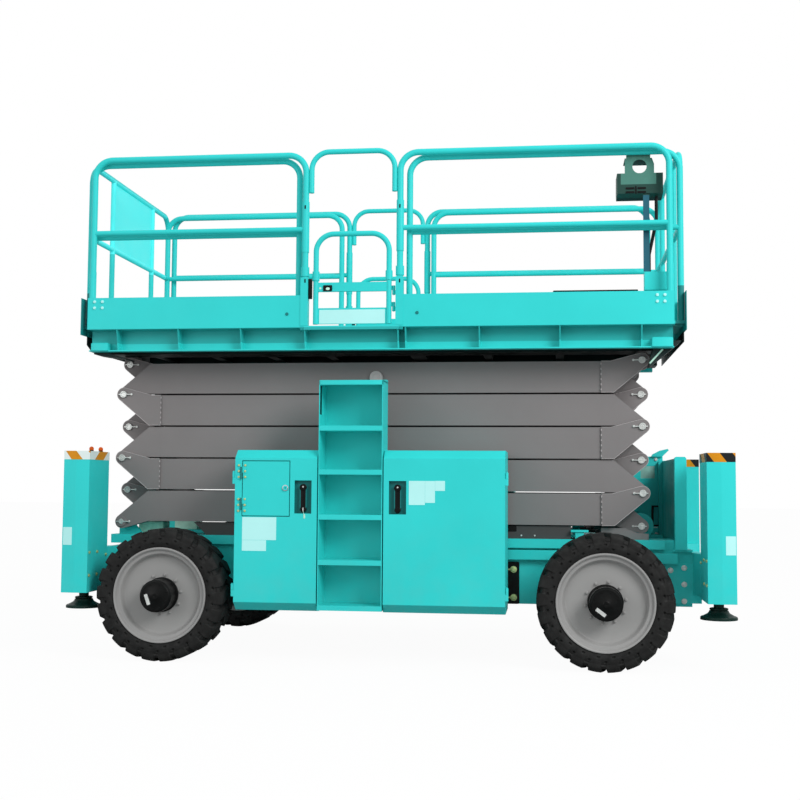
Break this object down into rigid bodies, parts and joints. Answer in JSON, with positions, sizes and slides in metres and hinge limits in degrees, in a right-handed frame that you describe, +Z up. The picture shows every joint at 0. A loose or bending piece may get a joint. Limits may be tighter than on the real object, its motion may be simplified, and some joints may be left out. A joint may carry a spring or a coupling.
{
  "type": "rough-terrain scissor lift",
  "caption": "Four-wheel-drive scissor lift with a folded scissor stack, railed platform with roll-out decks, side cabinets and corner outriggers.",
  "frame": {"origin": "on the ground below the middle of the machine", "axes": "+X towards the steered end, +Y towards the far side, +Z up"},
  "size_m": [4.373, 2.444, 3.401],
  "materials": {
    "body_paint": "gloss",
    "arm_paint": "satin",
    "rim_paint": "satin",
    "dark_steel": "satin",
    "rod_chrome": "polished",
    "tyre": "matte",
    "box_plastic": "matte"
  },
  "bodies": {
    "chassis": {"chassis_frame": "body_paint", "arm_rests": "arm_paint", "rear_axle": "dark_steel", "front_axle": "dark_steel", "outrigger_housings": "body_paint", "cabinets_near": "body_paint", "cabinets_far": "body_paint", "ladder_near": "body_paint", "ladder_far": "body_paint", "front_end_box": "body_paint", "power_blocks": "dark_steel"},
    "knuckle_near": {"knuckle_near": "dark_steel"},
    "knuckle_far": {"knuckle_far": "dark_steel"},
    "tie_rod": {"tie_rod": "dark_steel"},
    "wheel_rear_near": {"tyre_rear_near": "tyre", "rim_rear_near": "rim_paint"},
    "wheel_rear_far": {"tyre_rear_far": "tyre", "rim_rear_far": "rim_paint"},
    "wheel_front_near": {"tyre_front_near": "tyre", "rim_front_near": "rim_paint"},
    "wheel_front_far": {"tyre_front_far": "tyre", "rim_front_far": "rim_paint"},
    "outer_1": {"outer_frame_1": "arm_paint"},
    "inner_1": {"inner_frame_1": "arm_paint"},
    "outer_2": {"outer_frame_2": "arm_paint"},
    "inner_2": {"inner_frame_2": "arm_paint"},
    "outer_3": {"outer_frame_3": "arm_paint"},
    "inner_3": {"inner_frame_3": "arm_paint"},
    "outer_4": {"outer_frame_4": "arm_paint"},
    "inner_4": {"inner_frame_4": "arm_paint"},
    "outer_5": {"outer_frame_5": "arm_paint"},
    "inner_5": {"inner_frame_5": "arm_paint"},
    "lower_barrel": {"lower_barrel": "body_paint"},
    "lower_rod": {"lower_rod": "rod_chrome"},
    "upper_barrel": {"upper_barrel": "body_paint"},
    "upper_rod": {"upper_rod": "rod_chrome"},
    "platform": {"deck_frame": "body_paint", "guardrails": "body_paint"},
    "gate_near": {"gate_near": "body_paint"},
    "gate_far": {"gate_far": "body_paint"},
    "extension_rear": {"extension_rear": "body_paint"},
    "extension_front": {"extension_front": "body_paint", "control_box": "box_plastic"},
    "door_near_rear": {"door_near_rear": "body_paint"},
    "door_near_front": {"door_near_front": "body_paint"},
    "door_far_rear": {"door_far_rear": "body_paint"},
    "door_far_front": {"door_far_front": "body_paint"},
    "hatch_near": {"hatch_near": "body_paint"},
    "leg_rear_near": {"leg_rear_near": "dark_steel"},
    "leg_rear_far": {"leg_rear_far": "dark_steel"},
    "leg_front_near": {"leg_front_near": "dark_steel"},
    "leg_front_far": {"leg_front_far": "dark_steel"}
  },
  "joints": [
    {"name": "wheel_rear_near_spin", "type": "hinge", "parent": "chassis", "child": "wheel_rear_near", "pos_m": [-1.488, -1, 0.4275], "axis": [0, 1, 0], "continuous": true},
    {"name": "wheel_rear_far_spin", "type": "hinge", "parent": "chassis", "child": "wheel_rear_far", "pos_m": [-1.488, 1, 0.4275], "axis": [0, 1, 0], "continuous": true},
    {"name": "steer_near", "type": "hinge", "parent": "chassis", "child": "knuckle_near", "pos_m": [1.364, -0.69, 0.4275], "axis": [0, 0, 1], "range_deg": [-25, 25]},
    {"name": "steer_far", "type": "hinge", "parent": "chassis", "child": "knuckle_far", "pos_m": [1.364, 0.69, 0.4275], "axis": [0, 0, 1], "range_deg": [-25, 25]},
    {"name": "tie_rod_slide", "type": "slide", "parent": "chassis", "child": "tie_rod", "axis": [0, 1, 0], "range_m": [-0.068, 0.068]},
    {"name": "wheel_front_near_spin", "type": "hinge", "parent": "knuckle_near", "child": "wheel_front_near", "pos_m": [1.364, -1, 0.4275], "axis": [0, 1, 0], "continuous": true},
    {"name": "wheel_front_far_spin", "type": "hinge", "parent": "knuckle_far", "child": "wheel_front_far", "pos_m": [1.364, 1, 0.4275], "axis": [0, 1, 0], "continuous": true},
    {"name": "lift", "type": "hinge", "parent": "chassis", "child": "outer_1", "pos_m": [-1.944, 0, 0.883], "axis": [0, -1, 0], "range_deg": [0, 42.5]},
    {"name": "outer_2_pivot", "type": "hinge", "parent": "outer_1", "child": "outer_2", "pos_m": [1.633, 0, 1.1047], "axis": [0, 1, 0], "range_deg": [0, 85.5]},
    {"name": "outer_3_pivot", "type": "hinge", "parent": "outer_2", "child": "outer_3", "pos_m": [-1.944, 0, 1.3264], "axis": [0, -1, 0], "range_deg": [0, 85.5]},
    {"name": "outer_4_pivot", "type": "hinge", "parent": "outer_3", "child": "outer_4", "pos_m": [1.633, 0, 1.5481], "axis": [0, 1, 0], "range_deg": [0, 85.5]},
    {"name": "outer_5_pivot", "type": "hinge", "parent": "outer_4", "child": "outer_5", "pos_m": [-1.944, 0, 1.7698], "axis": [0, -1, 0], "range_deg": [0, 85.5]},
    {"name": "centre_1_pivot", "type": "hinge", "parent": "outer_1", "child": "inner_1", "pos_m": [-0.1555, 0, 0.99385], "axis": [0, 1, 0], "range_deg": [0, 85.5]},
    {"name": "centre_2_pivot", "type": "hinge", "parent": "outer_2", "child": "inner_2", "pos_m": [-0.1555, 0, 1.21555], "axis": [0, -1, 0], "range_deg": [0, 85.5]},
    {"name": "centre_3_pivot", "type": "hinge", "parent": "outer_3", "child": "inner_3", "pos_m": [-0.1555, 0, 1.43725], "axis": [0, 1, 0], "range_deg": [0, 85.5]},
    {"name": "centre_4_pivot", "type": "hinge", "parent": "outer_4", "child": "inner_4", "pos_m": [-0.1555, 0, 1.65895], "axis": [0, -1, 0], "range_deg": [0, 85.5]},
    {"name": "centre_5_pivot", "type": "hinge", "parent": "outer_5", "child": "inner_5", "pos_m": [-0.1555, 0, 1.88065], "axis": [0, 1, 0], "range_deg": [0, 85.5]},
    {"name": "platform_pivot", "type": "hinge", "parent": "inner_5", "child": "platform", "pos_m": [-1.944, 0, 1.9915], "axis": [0, -1, 0], "range_deg": [0, 42.75]},
    {"name": "lower_cylinder_pivot", "type": "hinge", "parent": "inner_1", "child": "lower_barrel", "pos_m": [0.956, 0, 0.99385], "axis": [0, 1, 0], "range_deg": [0, 10.19]},
    {"name": "lower_rod_slide", "type": "slide", "parent": "lower_barrel", "child": "lower_rod", "axis": [-0.9954, 0, 0.0959], "range_m": [0, 0.6994]},
    {"name": "upper_cylinder_pivot", "type": "hinge", "parent": "inner_3", "child": "upper_barrel", "pos_m": [0.956, 0, 1.43725], "axis": [0, 1, 0], "range_deg": [0, 10.19]},
    {"name": "upper_rod_slide", "type": "slide", "parent": "upper_barrel", "child": "upper_rod", "axis": [-0.9954, 0, 0.0959], "range_m": [0, 0.6994]},
    {"name": "gate_near_hinge", "type": "hinge", "parent": "platform", "child": "gate_near", "pos_m": [-0.003, -0.882, 2.5], "axis": [0, 0, -1], "range_deg": [0, 90]},
    {"name": "gate_far_hinge", "type": "hinge", "parent": "platform", "child": "gate_far", "pos_m": [-0.003, 0.882, 2.5], "axis": [0, 0, 1], "range_deg": [0, 90]},
    {"name": "rear_deck_slide", "type": "slide", "parent": "platform", "child": "extension_rear", "axis": [-1, 0, 0], "range_m": [0, 0.9]},
    {"name": "front_deck_slide", "type": "slide", "parent": "platform", "child": "extension_front", "axis": [1, 0, 0], "range_m": [0, 1.1]},
    {"name": "door_near_rear_hinge", "type": "hinge", "parent": "chassis", "child": "door_near_rear", "pos_m": [-1.01, -1.108, 0.9], "axis": [0, 0, -1], "range_deg": [0, 110]},
    {"name": "door_far_rear_hinge", "type": "hinge", "parent": "chassis", "child": "door_far_rear", "pos_m": [-1.01, 1.108, 0.9], "axis": [0, 0, 1], "range_deg": [0, 110]},
    {"name": "door_near_front_hinge", "type": "hinge", "parent": "chassis", "child": "door_near_front", "pos_m": [0.754, -1.108, 0.9], "axis": [0, 0, 1], "range_deg": [0, 110]},
    {"name": "door_far_front_hinge", "type": "hinge", "parent": "chassis", "child": "door_far_front", "pos_m": [0.754, 1.108, 0.9], "axis": [0, 0, -1], "range_deg": [0, 110]},
    {"name": "hatch_near_hinge", "type": "hinge", "parent": "door_near_rear", "child": "hatch_near", "pos_m": [-0.957, -1.126, 1.1], "axis": [0, 0, -1], "range_deg": [0, 100]},
    {"name": "leg_rear_near_slide", "type": "slide", "parent": "chassis", "child": "leg_rear_near", "axis": [0, 0, -1], "range_m": [0, 0.45]},
    {"name": "leg_rear_far_slide", "type": "slide", "parent": "chassis", "child": "leg_rear_far", "axis": [0, 0, -1], "range_m": [0, 0.45]},
    {"name": "leg_front_near_slide", "type": "slide", "parent": "chassis", "child": "leg_front_near", "axis": [0, 0, -1], "range_m": [0, 0.45]},
    {"name": "leg_front_far_slide", "type": "slide", "parent": "chassis", "child": "leg_front_far", "axis": [0, 0, -1], "range_m": [0, 0.45]}
  ],
  "couplings": [
    {"joint": "steer_far", "follows": "steer_near", "ratio": 1},
    {"joint": "tie_rod_slide", "follows": "steer_near", "m_per_rad": -0.15},
    {"joint": "outer_2_pivot", "follows": "lift", "ratio": 2},
    {"joint": "outer_3_pivot", "follows": "lift", "ratio": 2},
    {"joint": "outer_4_pivot", "follows": "lift", "ratio": 2},
    {"joint": "outer_5_pivot", "follows": "lift", "ratio": 2},
    {"joint": "centre_1_pivot", "follows": "lift", "ratio": 2},
    {"joint": "centre_2_pivot", "follows": "lift", "ratio": 2},
    {"joint": "centre_3_pivot", "follows": "lift", "ratio": 2},
    {"joint": "centre_4_pivot", "follows": "lift", "ratio": 2},
    {"joint": "centre_5_pivot", "follows": "lift", "ratio": 2},
    {"joint": "platform_pivot", "follows": "lift", "ratio": 1},
    {"joint": "lower_cylinder_pivot", "follows": "lift", "ratio": 0.22796},
    {"joint": "lower_rod_slide", "follows": "lift", "m_per_rad": 0.92942},
    {"joint": "upper_cylinder_pivot", "follows": "lift", "ratio": 0.22796},
    {"joint": "upper_rod_slide", "follows": "lift", "m_per_rad": 0.92942}
  ]
}
